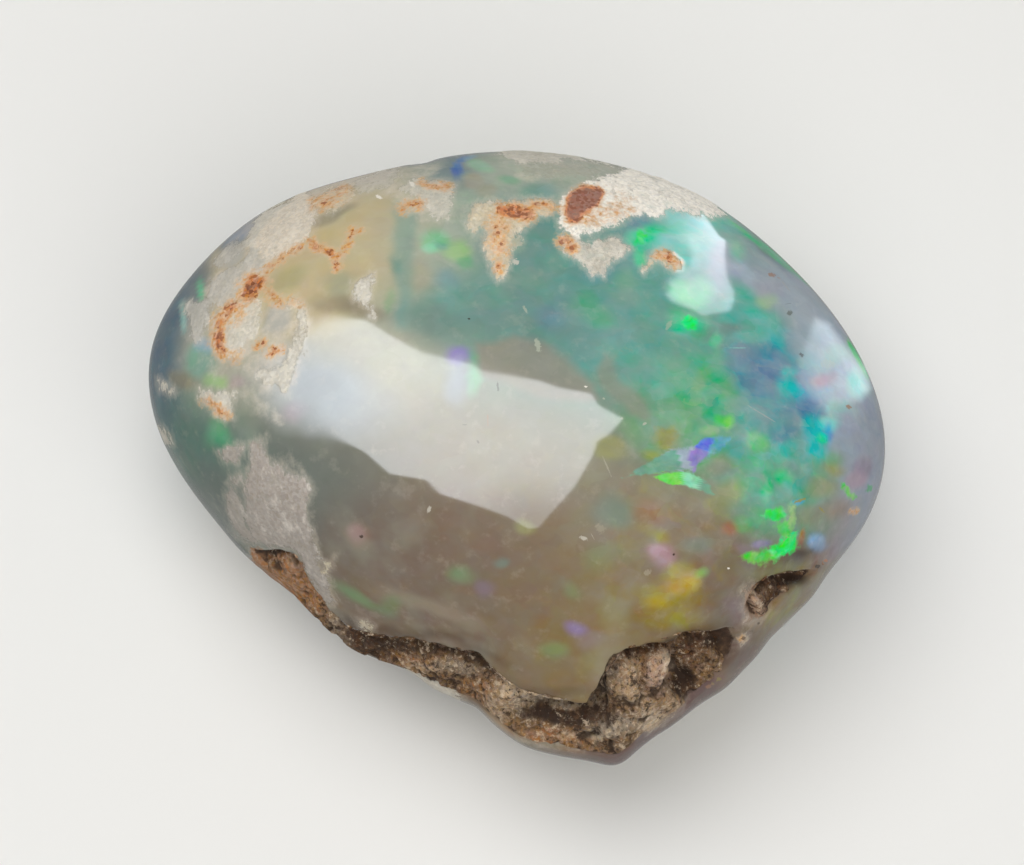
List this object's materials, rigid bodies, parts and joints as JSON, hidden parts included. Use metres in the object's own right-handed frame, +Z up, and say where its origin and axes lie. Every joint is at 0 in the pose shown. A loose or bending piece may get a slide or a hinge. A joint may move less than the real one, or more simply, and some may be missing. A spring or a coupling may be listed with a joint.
{
  "type": "opalized clam fossil",
  "caption": "Polished fossil clam turned to precious opal, both valves closed, with brown sandstone left along its hinge groove.",
  "frame": {"origin": "on the resting surface, under the middle of the fossil's box", "axes": "+X along the shell's length, +Y towards its open margin, +Z up out of the front valve"},
  "size_m": [0.036, 0.0308, 0.0192],
  "materials": {
    "opal": "polished precious opal",
    "sandstone": "rough, granular"
  },
  "bodies": {
    "root": {"opal_clam": "opal", "hinge_sandstone": "sandstone", "pit_sandstone": "sandstone"}
  },
  "joints": []
}
